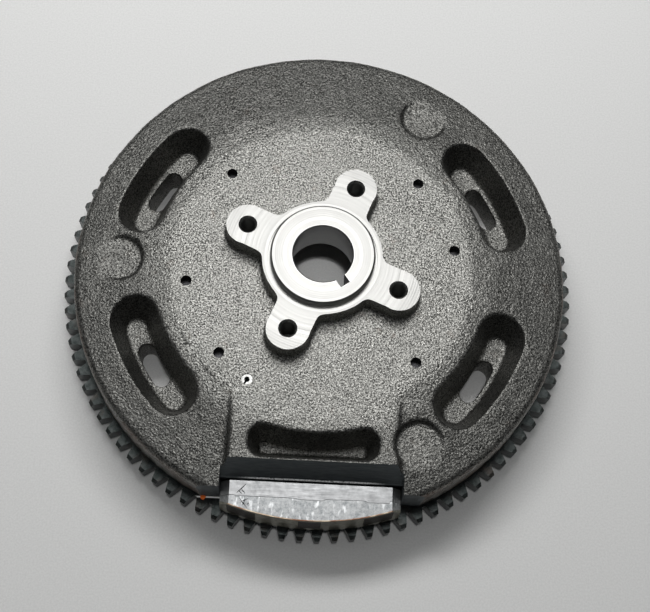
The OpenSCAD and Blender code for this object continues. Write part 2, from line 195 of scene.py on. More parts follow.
def remesh(obj, voxel, smooth):
    step = obj.modifiers.new("remesh", "REMESH")
    step.mode = "VOXEL"
    step.voxel_size = voxel * MM
    step.use_smooth_shade = True
    if smooth:
        relax = obj.modifiers.new("smooth", "SMOOTH")
        relax.factor = 0.5
        relax.iterations = smooth
    bake(obj)


def roughen(obj, layers, keep=None):
    """Moves every vertex along its normal by noise. layers: (size in mm, depth in mm)."""
    mesh = obj.data
    count = len(mesh.vertices)
    co = np.empty(count * 3, np.float32)
    no = np.empty(count * 3, np.float32)
    mesh.vertices.foreach_get("co", co)
    mesh.vertices.foreach_get("normal", no)
    co, no = co.reshape(-1, 3), no.reshape(-1, 3)
    depth = np.zeros(count, np.float32)
    for size, amount in layers:
        spots = co / (size * MM)
        depth += np.array([noise.noise(Vector(p)) for p in spots], np.float32) * amount * MM
    if keep is not None:
        depth *= keep(co / MM)
    mesh.vertices.foreach_set("co", (co + no * depth[:, None]).ravel())
    mesh.update()


def smooth_shading(obj, sharp_degrees):
    obj.data.polygons.foreach_set("use_smooth", [True] * len(obj.data.polygons))
    obj.data.set_sharp_from_angle(angle=math.radians(sharp_degrees))


# ---------------------------------------------------------------- material helpers
class Shader:
    """A small writer of node materials. Sizes of patterns are in millimetres of the part."""

    def __init__(self, name, color, metallic, roughness):
        self.material = bpy.data.materials.new(name)
        self.material.use_nodes = True
        self.tree = self.material.node_tree
        self.base = self.tree.nodes["Principled BSDF"]
        self.base.inputs["Metallic"].default_value = metallic
        self.base.inputs["Roughness"].default_value = roughness
        self.base.inputs["Base Color"].default_value = (*color, 1)
        self.place = self.tree.nodes.new("ShaderNodeTexCoord").outputs["Object"]

    def node(self, kind, **inputs):
        n = self.tree.nodes.new(kind)
        for key, value in inputs.items():
            socket = n.inputs[key.replace("_", " ")]
            if isinstance(value, bpy.types.NodeSocket):
                self.tree.links.new(value, socket)
            else:
                socket.default_value = value
        return n

    def noise(self, size, detail=2.0, roughness=0.5, stretch=(1, 1, 1), distortion=0.0):
        at = self.node("ShaderNodeMapping", Vector=self.place, Scale=stretch).outputs[0]
        n = self.node("ShaderNodeTexNoise", Vector=at, Scale=1 / (size * MM), Detail=detail,
                      Roughness=roughness, Distortion=distortion)
        return n.outputs[0]

    def grain(self, size, randomness=1.0):
        return self.node("ShaderNodeTexVoronoi", Vector=self.place, Scale=1 / (size * MM),
                         Randomness=randomness).outputs["Distance"]

    def radius(self):
        """Distance from the crankshaft axis, in metres."""
        flat = self.node("ShaderNodeVectorMath", Vector=self.place)
        flat.operation = "MULTIPLY"
        flat.inputs[1].default_value = (1, 1, 0)
        length = self.tree.nodes.new("ShaderNodeVectorMath")
        length.operation = "LENGTH"
        self.tree.links.new(flat.outputs[0], length.inputs[0])
        return length.outputs["Value"]

    def rings(self, size, detail=3.0):
        """Turning marks: noise that depends only on the distance from the axis and the height."""
        parts = self.node("ShaderNodeSeparateXYZ", Vector=self.place)
        at = self.node("ShaderNodeCombineXYZ", X=self.radius(), Y=parts.outputs["Z"])
        return self.node("ShaderNodeTexNoise", Vector=at.outputs[0], Scale=1 / (size * MM),
                         Detail=detail).outputs[0]

    def fit(self, value, low, high, to_low=0.0, to_high=1.0):
        n = self.node("ShaderNodeMapRange", Value=value)
        for key, v in zip(("From Min", "From Max", "To Min", "To Max"), (low, high, to_low, to_high)):
            n.inputs[key].default_value = v
        return n.outputs[0]

    def math(self, kind, a, b):
        n = self.tree.nodes.new("ShaderNodeMath")
        n.operation = kind
        for socket, v in zip(n.inputs, (a, b)):
            if isinstance(v, bpy.types.NodeSocket):
                self.tree.links.new(v, socket)
            else:
                socket.default_value = v
        return n.outputs[0]

    def mix(self, factor, a, b):
        n = self.tree.nodes.new("ShaderNodeMix")
        n.data_type = "RGBA"
        for socket, v in ((n.inputs[0], factor), (n.inputs[6], a), (n.inputs[7], b)):
            if isinstance(v, bpy.types.NodeSocket):
                self.tree.links.new(v, socket)
            else:
                socket.default_value = v if isinstance(v, float) else (*v, 1)
        return n.outputs[2]

    def color(self, socket):
        self.tree.links.new(socket, self.base.inputs["Base Color"])

    def roughness(self, socket):
        self.tree.links.new(socket, self.base.inputs["Roughness"])

    def metallic(self, socket):
        self.tree.links.new(socket, self.base.inputs["Metallic"])

    def bump(self, *layers):
        """layers: (height socket, depth in mm, strength)."""
        normal = None
        for height, depth, strength in layers:
            n = self.node("ShaderNodeBump", Height=height, Distance=depth * MM, Strength=strength)
            if normal is not None:
                self.tree.links.new(normal, n.inputs["Normal"])
            normal = n.outputs[0]
        self.tree.links.new(normal, self.base.inputs["Normal"])


def cast_material(name, dark, light, metallic=0.92):
    """Sand-cast iron: coarse grain with bright specks, blotches and a few rusty stains.

    The sloping ring outside the web is painted darker: painted shade for its tilt away from the light.
    """
    s = Shader(name, light, metallic, 0.5)
    coarse = s.noise(0.78, 2.0, 0.6)
    fine = s.noise(0.42, 2.0, 0.7)
    pits = s.grain(1.1)
    blotch = s.noise(22, 3.0, 0.6)
    rust = s.noise(9, 3.0, 0.6)
    body = s.mix(s.fit(coarse, 0.40, 0.62), dark, light)
    body = s.mix(s.fit(blotch, 0.35, 0.7, 0.0, 0.35), body, tuple(c * 0.62 for c in light))
    body = s.mix(s.fit(rust, 0.64, 0.8, 0.0, 0.35), body, (0.16, 0.10, 0.065))
    body = s.mix(s.fit(fine, 0.60, 0.68, 0.0, 0.85), body, (0.85, 0.84, 0.80))
    # Painted shade: the body turns darker from about r 72 mm outward, over the sloping ring, with a blotchy
    # border.
    ring_shade = s.math("ADD", s.radius(), s.fit(blotch, 0.3, 0.7, -3 * MM, 3 * MM))
    body = s.mix(s.fit(ring_shade, 72 * MM, 84 * MM, 0.0, 0.45), body, (0.03, 0.03, 0.028))
    edge = s.fit(s.radius(), 113.4 * MM, 114.2 * MM)
    stained = s.math("MULTIPLY", edge, s.fit(s.noise(14, 3.0), 0.42, 0.62, 0.0, 0.45))
    s.color(s.mix(stained, body, (0.11, 0.055, 0.032)))
    s.roughness(s.fit(fine, 0.3, 0.75, 0.5, 0.36))
    s.bump((coarse, 0.26, 0.9), (pits, 0.24, 0.6), (fine, 0.11, 0.8))
    return s.material


def turned_material(name, color, roughness, ring_size=0.5, depth=0.02, blotch=0.12):
    """Metal faced on a lathe: concentric marks and slight stains."""
    s = Shader(name, color, 1.0, roughness)
    marks = s.rings(ring_size)
    stains = s.noise(14, 3.0, 0.6)
    dull = tuple(c * (1 - blotch * 2) for c in color)
    s.color(s.mix(s.fit(stains, 0.45, 0.75, 0.0, 0.8), color, dull))
    s.roughness(s.fit(marks, 0.3, 0.7, roughness - 0.06, roughness + 0.08))
    s.bump((marks, depth, 0.6), (s.noise(0.8, 2.0), depth, 0.25))
    return s.material


def ground_material(name, color, roughness, metallic=1.0, size=0.7, depth=0.03, dirt=(0.05, 0.045, 0.04),
                    dirt_amount=0.4, stretch=(1, 1, 1)):
    """Metal with directional scratches (by stretch), mottling and dirt in patches."""
    s = Shader(name, color, metallic, roughness)
    scratches = s.noise(size, 3.0, 0.65, stretch)
    mottle = s.noise(3.2, 4.0, 0.65)
    patches = s.noise(7.0, 4.0, 0.7)
    body = s.mix(s.fit(mottle, 0.35, 0.65), tuple(c * 0.72 for c in color), color)
    body = s.mix(s.fit(patches, 0.56, 0.74, 0.0, dirt_amount), body, dirt)
    s.color(body)
    s.roughness(s.fit(scratches, 0.3, 0.7, roughness - 0.08, roughness + 0.12))
    s.bump((scratches, depth, 0.6), (mottle, depth * 2, 0.3))
    return s.material


def within(s, value, low, high, soft):
    """1 where the value lies between low and high, in millimetres, with a soft edge."""
    rise = s.fit(value, low * MM, (low + soft) * MM)
    fall = s.fit(value, (high - soft) * MM, high * MM, 1.0, 0.0)
    return s.math("MULTIPLY", rise, fall)


def recess_material():
    """Dark milled slope behind the magnet set, with a broken painted highlight along its foot."""
    s = Shader("recess_face", (0.10, 0.115, 0.12), 0.7, 0.5)
    streaks = s.noise(0.6, 3.0, 0.65, (0.1, 1, 1))
    parts = s.node("ShaderNodeSeparateXYZ", Vector=s.place)
    foot = s.math("MULTIPLY", within(s, parts.outputs["Z"], 25.9, 26.6, 0.2),
                  within(s, parts.outputs["X"], -33.0, 33.0, 8.0))
    # Painted highlight: a broken white band on the ledge at the slope's foot, standing in for the light
    # that ledge catches.
    foot_highlight = s.math("MULTIPLY", foot, s.fit(s.noise(0.9, 3.0, 0.7), 0.38, 0.5))
    body = s.mix(s.fit(streaks, 0.3, 0.7), (0.07, 0.08, 0.085), (0.14, 0.155, 0.16))
    s.color(s.mix(foot_highlight, body, (0.85, 0.86, 0.86)))
    s.metallic(s.fit(foot_highlight, 0.0, 1.0, 0.7, 0.0))
    s.roughness(s.fit(streaks, 0.3, 0.7, 0.42, 0.6))
    s.bump((streaks, 0.05, 0.6), (foot_highlight, 0.2, 0.6))
    return s.material


def gear_material():
    """Dark heat-treated steel, with a painted highlight: a white line along the edge the cutter left when
    it milled the flats.
    """
    s = Shader("gear_steel", (0.06, 0.07, 0.072), 0.95, 0.36)
    marks = s.rings(0.5)
    mottle = s.noise(2.4, 4.0, 0.7)
    patches = s.noise(9.0, 3.0, 0.65)
    parts = s.node("ShaderNodeSeparateXYZ", Vector=s.place)
    body = s.mix(s.fit(mottle, 0.35, 0.68), (0.022, 0.027, 0.026), (0.085, 0.094, 0.092))
    body = s.mix(s.fit(patches, 0.55, 0.75, 0.0, 0.6), body, (0.08, 0.06, 0.05))
    # Painted highlight: a diffuse white line on the gear top beside the flats.
    edge_highlight = s.math("MULTIPLY", within(s, parts.outputs["X"], -52.0, -40.0, 0.4),
                  within(s, parts.outputs["Y"], -105.5, -104.7, 0.1))
    edge_highlight = s.math("MULTIPLY", edge_highlight, s.fit(parts.outputs["Z"], 11.3 * MM, 11.4 * MM))
    s.color(s.mix(edge_highlight, body, (0.95, 0.95, 0.93)))
    s.metallic(s.fit(edge_highlight, 0.0, 1.0, 0.95, 0.0))
    s.roughness(s.fit(mottle, 0.3, 0.7, 0.28, 0.44))
    s.bump((marks, 0.02, 0.5), (mottle, 0.06, 0.5), (s.noise(0.6, 2.0), 0.04, 0.5))
    return s.material


def carrier_material():
    """Die-cast light metal: mottled top, brown worn edge and an olive film on the outer face."""
    s = Shader("carrier_alloy", (0.36, 0.37, 0.375), 0.9, 0.38)
    mottle = s.noise(1.8, 4.0, 0.7)
    flow = s.noise(2.2, 3.0, 0.6, (1, 0.35, 1))
    spots = s.noise(0.8, 2.0, 0.6)
    radius = s.radius()
    body = s.mix(s.fit(mottle, 0.35, 0.65), (0.20, 0.212, 0.216), (0.46, 0.467, 0.47))
    body = s.mix(s.fit(flow, 0.56, 0.66, 0.0, 0.9), body, (0.72, 0.73, 0.735))
    body = s.mix(s.fit(spots, 0.66, 0.72, 0.0, 0.8), body, (0.10, 0.10, 0.095))
    face = s.mix(s.fit(mottle, 0.35, 0.65), (0.13, 0.125, 0.10), (0.34, 0.33, 0.28))
    edge = s.mix(s.fit(s.noise(5.0, 3.0), 0.4, 0.6), (0.22, 0.095, 0.05), (0.62, 0.52, 0.38))
    parts = s.node("ShaderNodeSeparateXYZ", Vector=s.place)
    outside = s.fit(radius, 115.15 * MM, 115.35 * MM)
    high = s.fit(parts.outputs["Z"], 25.2 * MM, 25.4 * MM)
    s.color(s.mix(s.math("MULTIPLY", outside, high), s.mix(outside, body, face), edge))
    s.roughness(s.fit(mottle, 0.3, 0.7, 0.30, 0.48))
    s.bump((flow, 0.05, 0.5), (mottle, 0.05, 0.5), (spots, 0.03, 0.4))
    return s.material


def set_materials(obj, *materials):
    obj.data.materials.clear()
    for m in materials:
        obj.data.materials.append(m)


def node_material(name, material):
    """Gives a carried-over CAD node its finish."""
    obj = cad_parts[name]
    if not obj.material_slots:
        obj.data.materials.append(material)
    for s in obj.material_slots:
        s.link = "OBJECT"
        s.material = material
    return obj


# ---------------------------------------------------------------- camera, light and floor
def make_camera():
    camera = bpy.data.objects.new("camera", bpy.data.cameras.new("camera"))
    camera.data.lens = 58.37
    camera.data.sensor_width = 36
    camera.data.clip_start = 0.01
    camera.matrix_world = (Matrix.Translation(Vector((-11.45, -177.08, 491.2)) * MM)
                           @ Matrix.Rotation(math.radians(-5), 4, "Z")
                           @ Matrix.Rotation(math.radians(19.16), 4, "X")
                           @ Matrix.Rotation(math.radians(7.74), 4, "Z"))
    scene.collection.objects.link(camera)
    scene.camera = camera


def area_light(name, at, aim, size, power, color=(1, 1, 1)):
    data = bpy.data.lights.new(name, "AREA")
    data.shape = "RECTANGLE"
    data.size, data.size_y = size
    data.energy = power
    data.color = color
    obj = bpy.data.objects.new(name, data)
    obj.location = at
    obj.rotation_euler = (Vector(aim) - Vector(at)).to_track_quat("-Z", "Y").to_euler()
    scene.collection.objects.link(obj)
    return obj


def hub_spot(at, power, angle):
    """Narrow lamp over the hub. It reaches the table through the bore."""
    data = bpy.data.lights.new("hub_spot", "SPOT")
    data.energy = power
    data.spot_size = math.radians(angle)
    data.spot_blend = 0.3
    data.shadow_soft_size = 0.03
    obj = bpy.data.objects.new("hub_spot", data)
    obj.location = at
    obj.rotation_euler = (Vector((0, 0, 0.04)) - Vector(at)).to_track_quat("-Z", "Y").to_euler()
    scene.collection.objects.link(obj)


def make_studio():
    # The softbox shows only in reflections, and back_lamp and overhead only in diffuse light.
    softbox = area_light("softbox", (0.0, 0.34, 1.0), (0, 0.02, 0.03), (0.42, 0.38), 4.8)
    softbox.visible_diffuse = False
    back_lamp = area_light("back_lamp", (-0.08, 0.56, 0.74), (0, 0, 0.03), (0.85, 0.2), 7.4)
    back_lamp.visible_glossy = False
    overhead = area_light("overhead", (0.0, -0.12, 1.2), (0, 0, 0.03), (0.1, 0.1), 2.2)
    overhead.visible_glossy = False
    area_light("panel", (-0.14, 0.42, 1.06), (0, 0, 0.03), (1.2, 0.8), 0.8)
    hub_spot((0, -0.1, 1.2), 12.0, 3.0)
    world = bpy.data.worlds.new("studio")
    world.use_nodes = True
    background = world.node_tree.nodes["Background"]
    background.inputs["Color"].default_value = (0.86, 0.9, 0.92, 1)
    background.inputs["Strength"].default_value = 0.05
    scene.world = world
    scene.view_settings.view_transform = "Standard"
    half = 3000
    floor = mesh_object("floor", [(-half, -half, 0), (half, -half, 0), (half, half, 0), (-half, half, 0)],
                        [[0, 1, 2, 3]])
    s = Shader("floor_paint", (0.64, 0.64, 0.635), 0.0, 0.85)
    s.color(s.mix(s.fit(s.noise(0.9, 2.0, 0.6), 0.3, 0.7), (0.68, 0.68, 0.67), (0.76, 0.76, 0.75)))
    set_materials(floor, s.material)


# ---------------------------------------------------------------- the casting
def rough_section():
    """Half section of the cast body, with stock left where it is machined later."""
    centre = Vector((RIM_R - RIM_ROUND, RIM_H + (WEB_Z - RIM_H) * RIM_ROUND / (RIM_R - WEB_R) - RIM_ROUND))
    arc = [tuple(centre + polar(RIM_ROUND, a)) for a in range(0, 90, 15)]
    stock_z = 24
    return [(0, stock_z), (CAVITY_R - 1, stock_z), (CAVITY_R - 1, -CUT_MARGIN),
            (RIM_SHOULDER_R, -CUT_MARGIN), (RIM_SHOULDER_R, GEAR_TOP_Z), *arc, (WEB_R, WEB_Z), (0, WEB_Z)]


def lug_outline(grow=0.0):
    """Plan of the hub disc with its four lugs and their fillets, anticlockwise."""
    disc, half_w, end_r, fillet = HUB_DISC_R + grow, LUG_HALF_W + grow, LUG_END_R + grow, LUG_FILLET - grow
    fy = half_w + fillet
    fx = math.sqrt((disc + fillet) ** 2 - fy ** 2)
    at_disc = math.degrees(math.atan2(fy, fx))
    end = 180 - math.degrees(math.asin(half_w / end_r))
    lug = [(Vector((fx, -fy)) + polar(fillet, 180 - at_disc - t * (90 - at_disc) / 6)) for t in range(7)]
    lug += [Vector((LUG_AT, 0)) + polar(end_r, -end + 2 * end * t / 24) for t in range(25)]
    lug += [(Vector((fx, fy)) + polar(fillet, 270 - t * (90 - at_disc) / 6)) for t in range(7)]
    lug += [polar(disc, at_disc + (90 - 2 * at_disc) * t / 9) for t in range(1, 9)]
    outline = []
    for quarter in range(4):
        turn = Matrix.Rotation(math.radians(LUG_ANGLE + 90 * quarter), 2)
        outline += [turn @ p for p in lug]
    return outline


def arc_outline(r, centre, half_angle, half_w, z):
    """Round-ended band along an arc, at height z, anticlockwise."""
    ends = 12
    points = [polar(r + half_w, centre + half_angle * t / 8) for t in range(-8, 8)]
    points += [polar(r, centre + half_angle) + polar(half_w, centre + half_angle + 180 * t / ends)
               for t in range(ends)]
    points += [polar(r - half_w, centre - half_angle * t / 8) for t in range(-8, 8)]
    points += [polar(r, centre - half_angle) + polar(half_w, centre - half_angle + 180 + 180 * t / ends)
               for t in range(ends)]
    return [(p.x, p.y, z) for p in points]


def pocket_tool(name, centre, half_angle):
    mouth_z = face_z(POCKET_R)
    lean = (POCKET_MOUTH_W - POCKET_FLOOR_W) / (mouth_z - POCKET_FLOOR_Z)
    top = WEB_Z + CUT_MARGIN
    return loft(name, [
        arc_outline(POCKET_R, centre, half_angle, POCKET_FLOOR_W, POCKET_FLOOR_Z),
        arc_outline(POCKET_R, centre, half_angle, POCKET_FLOOR_W + lean * (top - POCKET_FLOOR_Z), top)])


def magnet_pocket_tool(name):
    """Pocket beside the magnet set, lofted from its floor past its mouth."""
    floor, mouth = MAGNET_POCKET
    reach = (WEB_Z + 5 - floor[0]) / (mouth[0] - floor[0])
    top = [a + (b - a) * reach for a, b in zip(floor, mouth)]
    rings = []
    for z, half_w, r_in, y_out, corner in (floor, top):
        x, inner_y = half_w - corner, math.sqrt((r_in + corner) ** 2 - (half_w - corner) ** 2)
        lean = math.degrees(math.atan2(inner_y, x))
        ring = [Vector((x, -y_out + corner)) + polar(corner, -90 + 15 * t) for t in range(7)]
        ring += [Vector((x, -inner_y)) + polar(corner, (180 - lean) * t / 8) for t in range(9)]
        ring += [polar(r_in, -lean - (180 - 2 * lean) * t / 12) for t in range(1, 12)]
        ring += [Vector((-x, -inner_y)) + polar(corner, lean + (180 - lean) * t / 8) for t in range(9)]
        ring += [Vector((-x, -y_out + corner)) + polar(corner, 180 + 15 * t) for t in range(7)]
        rings.append([(q.x, q.y, z) for q in ring])
    return loft(name, rings)


def rough_casting():
    """The casting as it leaves the mould."""
    body = lathe("casting", rough_section())
    start_y = math.sqrt(WEB_R ** 2 - SHELF_HALF_W ** 2) - 3 * CUT_MARGIN
    shelf = loft("shelf", [[(-SHELF_FOOT_HALF_W, y, RIM_H), (SHELF_FOOT_HALF_W, y, RIM_H),
                            (SHELF_HALF_W, y, WEB_Z), (-SHELF_HALF_W, y, WEB_Z)]
                           for y in (-start_y, -SHELF_END_Y)])
    lugs = loft("lugs", [[(p.x, p.y, z) for p in lug_outline(grow)]
                         for grow, z in ((0.35, WEB_Z - 4), (0.0, LUG_Z - 1), (0.0, LUG_Z + 2.0))])
    boss = rod("boss", 0, 0, [(BOSS_R + 1, WEB_Z - 4), (BOSS_R + 1, BOSS_Z + 1.5)], 128)
    add(body, shelf, lugs, boss)
    tools = [pocket_tool(f"pocket_{k}", c, h) for k, (c, h) in enumerate(POCKET_ANGLES)]
    tools.append(magnet_pocket_tool("magnet_pocket"))
    for k, (c, _) in enumerate(POCKET_ANGLES):
        tools.append(loft(f"slot_{k}", [arc_outline(SLOT_R, c, SLOT_HALF_ANGLE, SLOT_HALF_W, z)
                                        for z in (-4, POCKET_FLOOR_Z + 1.5)]))
    for k, a in enumerate(PAD_ANGLES):
        p = polar(PAD_AT, a)
        floor_z = face_z(PAD_AT + PAD_R - 1)
        tools.append(rod(f"pad_{k}", p.x, p.y, [(PAD_R, floor_z), (PAD_R + 1, floor_z + 10)]))
    cut(body, *tools)
    return body


def machining_tools():
    """What the machine shop takes off the casting."""
    front = lathe("front_turning", [
        (0, BOSS_Z), (BOSS_R - BOSS_CHAMFER, BOSS_Z), (BOSS_R, BOSS_Z - BOSS_CHAMFER),
        (BOSS_R, LUG_Z - GROOVE[1]), (BOSS_R + GROOVE[0], LUG_Z - GROOVE[1]), (BOSS_R + GROOVE[0], LUG_Z),
        (60, LUG_Z), (60, 70), (0, 70)], 192)
    rear = lathe("rear_turning", [
        (0, -9), (140, -9), (140, GEAR_TOP_Z), (GEAR_SEAT_R, GEAR_TOP_Z), (GEAR_SEAT_R, 1),
        (GEAR_SEAT_R - 1, 0),
        (CAVITY_R + 1, 0), (CAVITY_R, 1), (CAVITY_R, WEB_BACK_Z - 1), (CAVITY_R - 1, WEB_BACK_Z),
        (HUB_BACK_R + 0.6, WEB_BACK_Z), (HUB_BACK_R, WEB_BACK_Z - 0.6), (HUB_BACK_R, HUB_BACK_Z + 0.5),
        (HUB_BACK_R - 0.5, HUB_BACK_Z), (0, HUB_BACK_Z)])
    slope = (BORE_BACK_R - BORE_TOP_R) / (BOSS_Z - HUB_BACK_Z)
    bore = rod("bore", 0, 0, [
        (BORE_BACK_R + slope * 3, HUB_BACK_Z - 3), (BORE_BACK_R + BORE_BACK_CHAMFER, HUB_BACK_Z - 0.001),
        (BORE_BACK_R, HUB_BACK_Z + BORE_BACK_CHAMFER), (BORE_TOP_R, BOSS_Z - BORE_TOP_CHAMFER),
        (BORE_TOP_R + BORE_TOP_CHAMFER, BOSS_Z), (14.5, BOSS_Z + 1)], 160)
    key = prism_z("key", [(0, -KEY_W / 2), (KEY_REACH, -KEY_W / 2), (KEY_REACH, KEY_W / 2), (0, KEY_W / 2)],
                  HUB_BACK_Z - 3, BOSS_Z + 3)
    key.data.transform(Matrix.Rotation(math.radians(KEY_ANGLE), 4, "Z"))
    outside = RIM_R + 10
    top = WEB_Z + 6
    recess = prism_x("recess", [(-outside, GEAR_TOP_Z - 0.001), (-RECESS_Y, GEAR_TOP_Z - 0.001),
                                (-RECESS_Y, SET_TOP_Z + 0.1), (-RECESS_Y + RECESS_LEDGE, SET_TOP_Z + 0.3),
                                (-RECESS_LIP_Y, WEB_Z), (-RECESS_LIP_Y + 4.15, top), (-outside, top)],
                     -RECESS_HALF_W, RECESS_HALF_W)
    flats = prism_x("flats", [(-outside, GEAR_TOP_Z - 0.001), (-FLAT_Y - FLAT_LEAN, GEAR_TOP_Z - 0.001),
                              (-FLAT_Y, RIM_H), (-FLAT_Y + 0.4, top), (-outside, top)], -RIM_R, RIM_R)
    tools = [front, rear, bore, key, flats, recess]
    for quarter in range(4):
        p = polar(LUG_AT, LUG_ANGLE + 90 * quarter)
        tools.append(rod(f"lug_hole_{quarter}", p.x, p.y, lug_hole_section()))
    for k, a in enumerate(WEB_HOLE_ANGLES):
        p = polar(WEB_HOLE_AT, a)
        tools.append(rod(f"web_hole_{k}", p.x, p.y,
                         [(WEB_HOLE_R, WEB_BACK_Z - 2), (WEB_HOLE_R, WEB_Z + 3)]))
    p = polar(PIN_AT, PIN_ANGLE)
    tools.append(rod("pin_hole", p.x, p.y, [(PIN_R + 0.05, WEB_BACK_Z - 2), (PIN_R + 0.05, WEB_Z + 3)]))
    for side in (-1, 1):
        tools.append(rod(f"set_screw_{side + 1}", side * SET_SCREW_X, -SET_SCREW_Y,
                         [(SET_SCREW_ROOM_R, -2), (SET_SCREW_ROOM_R, SET_SCREW_ROOM_Z),
                          (SET_SCREW_R, SET_SCREW_ROOM_Z + 0.001), (SET_SCREW_R, GEAR_TOP_Z + 2)]))
    return tools


def lug_hole_section():
    """Tapped hole as a stack of V grooves, with a countersink at the top."""
    points = []
    z = WEB_BACK_Z - 2
    while z < LUG_Z - 1.2:
        points += [(LUG_HOLE_R, z), (LUG_HOLE_R + THREAD_DEPTH, z + THREAD_PITCH / 2)]
        z += THREAD_PITCH
    return points + [(LUG_HOLE_R, LUG_Z - 1), (LUG_HOLE_R + 0.95, LUG_Z), (LUG_HOLE_R + 1.95, LUG_Z + 1)]


def casting_regions(obj, slots):
    """Gives each face of the finished casting the material of the surface it belongs to."""
    mesh = obj.data
    count = len(mesh.polygons)
    centre = np.empty(count * 3, np.float32)
    normal = np.empty(count * 3, np.float32)
    mesh.polygons.foreach_get("center", centre)
    mesh.polygons.foreach_get("normal", normal)
    x, y, z = (centre.reshape(-1, 3) / MM).T
    nz = normal.reshape(-1, 3)[:, 2]
    ny = normal.reshape(-1, 3)[:, 1]
    r = np.hypot(x, y)
    past_key = KEY_REACH + 0.8
    index = np.zeros(count, np.int32)
    index[(z < 0.2) | (r > GEAR_SEAT_R - 1.2) & (z < 1.2)] = slots["rear"]
    index[(r < CAVITY_R + 1.2) & (z < WEB_BACK_Z + 0.05) & (r > past_key - 0.1)] = slots["rear"]
    index[(np.abs(z - GEAR_TOP_Z) < 0.05) & (r > 90) & (nz < -0.9)] = slots["rear"]
    index[(np.abs(z - GEAR_TOP_Z) < 0.05) & (y < -90) & (nz > 0.9)] = slots["front"]
    index[(z > LUG_Z - 0.02) & (nz > 0.95) & (r < 50)] = slots["front"]
    index[(r < BOSS_R + GROOVE[0] + 0.05) & (z > LUG_Z - GROOVE[1] - 0.05)] = slots["front"]
    index[(r < past_key) & (nz < 0.9) & (z > HUB_BACK_Z) & (z < BOSS_Z - 0.01)] = slots["bore"]
    for quarter in range(4):
        p = polar(LUG_AT, LUG_ANGLE + 90 * quarter)
        near = np.hypot(x - p.x, y - p.y)
        index[(near < 3.9) & (z > WEB_BACK_Z - 0.5) & (z < LUG_Z - 0.01)] = slots["thread"]
    for a in WEB_HOLE_ANGLES:
        p = polar(WEB_HOLE_AT, a)
        near = np.hypot(x - p.x, y - p.y)
        index[(near < WEB_HOLE_R + 0.05) & (np.abs(nz) < 0.5)] = slots["bore"]
    walls = (y < -RECESS_LIP_Y + 0.1) & (z > GEAR_TOP_Z) & (z < WEB_Z + 0.5)
    slope_up = walls & (np.abs(x) < RECESS_HALF_W + 0.02) & (ny < -0.3) & (y > -RECESS_Y - 0.1)
    sides = walls & (np.abs(np.abs(x) - RECESS_HALF_W) < 0.03) & (np.abs(ny) < 0.1)
    flat_y = FLAT_Y + FLAT_LEAN * (RIM_H - z) / (RIM_H - GEAR_TOP_Z)
    flat = walls & (np.abs(-y - flat_y) < 0.15) & (ny < -0.9)
    index[slope_up | sides | flat] = slots["sawn"]
    mesh.polygons.foreach_set("material_index", index)
    mesh.update()


def make_casting():
    body = rough_casting()
    remesh(body, 0.8, 4)
    roughen(body, ((12.0, 0.25), (2.4, 0.10)))
    cut(body, *machining_tools())
    body.name = "flywheel_casting_detail"
    cast = cast_material("cast_iron", (0.04, 0.04, 0.037), (0.54, 0.535, 0.502))
    front = turned_material("machined_front", (0.30, 0.298, 0.288), 0.4, 0.6, 0.012, 0.04)
    rear = turned_material("machined_rear", (0.42, 0.42, 0.41), 0.34, 0.45, 0.03)
    bore = turned_material("bored", (0.30, 0.30, 0.30), 0.38, 0.3, 0.02)
    thread = ground_material("tapped", (0.34, 0.34, 0.33), 0.35)
    sawn = recess_material()
    set_materials(body, cast, front, rear, bore, thread, sawn)
    casting_regions(body, {"front": 1, "rear": 2, "bore": 3, "thread": 4, "sawn": 5})
    smooth_shading(body, 35)
    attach(body, "root")
    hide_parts("flywheel_casting")


# ---------------------------------------------------------------- the ignition magnet set
def scratch(name, start, end, width=0.45, depth=0.4):
    """Cutter for a scuff in the set's top face."""
    a, b = Vector(start), Vector(end)
    side = (b - a).orthogonal().normalized() * width / 2
    rings = []
    for p, w in ((a, 0.3), ((a + b) / 2, 1.0), (b, 0.35)):
        q = side * w
        rings.append([(p.x - q.x, p.y - q.y, SET_TOP_Z + 0.05), (p.x + q.x, p.y + q.y, SET_TOP_Z + 0.05),
                      (p.x, p.y, SET_TOP_Z - depth)])
    if side.x * (b - a).y - side.y * (b - a).x < 0:
        rings = [ring[::-1] for ring in rings]
    return loft(name, rings)


def set_body(name):
    """Outer shape of the whole set: shoulders at both ends and a face that follows the rim."""
    outline = [(-SET_HALF_W, SET_FOOT_Z), (SET_HALF_W, SET_FOOT_Z), (SET_HALF_W, SET_SHOULDER_Z),
               (SET_TOP_HALF_W, SET_TOP_Z), (-SET_TOP_HALF_W, SET_TOP_Z), (-SET_HALF_W, SET_SHOULDER_Z)]
    block = loft(name, [[(x, y, z) for x, z in outline] for y in (-SET_BACK_Y, -125)])
    lean = (SET_FOOT_R - SET_TOP_R) / (SET_TOP_Z - SET_FOOT_Z)
    low, high = SET_FOOT_Z - 1, SET_TOP_Z + 1
    follow = lathe("follow", [(0, low), (SET_FOOT_R + lean, low), (SET_TOP_R - lean, high), (0, high)], 720)
    combine(block, [follow], "INTERSECT")
    return block


def seam_side(name, gap):
    """Everything behind the seam, moved back by half the gap."""
    outline = [(x, y + gap) for x, y in SEAM] + [(50, -90), (-50, -90)]
    return prism_z(name, outline, 5, 35)


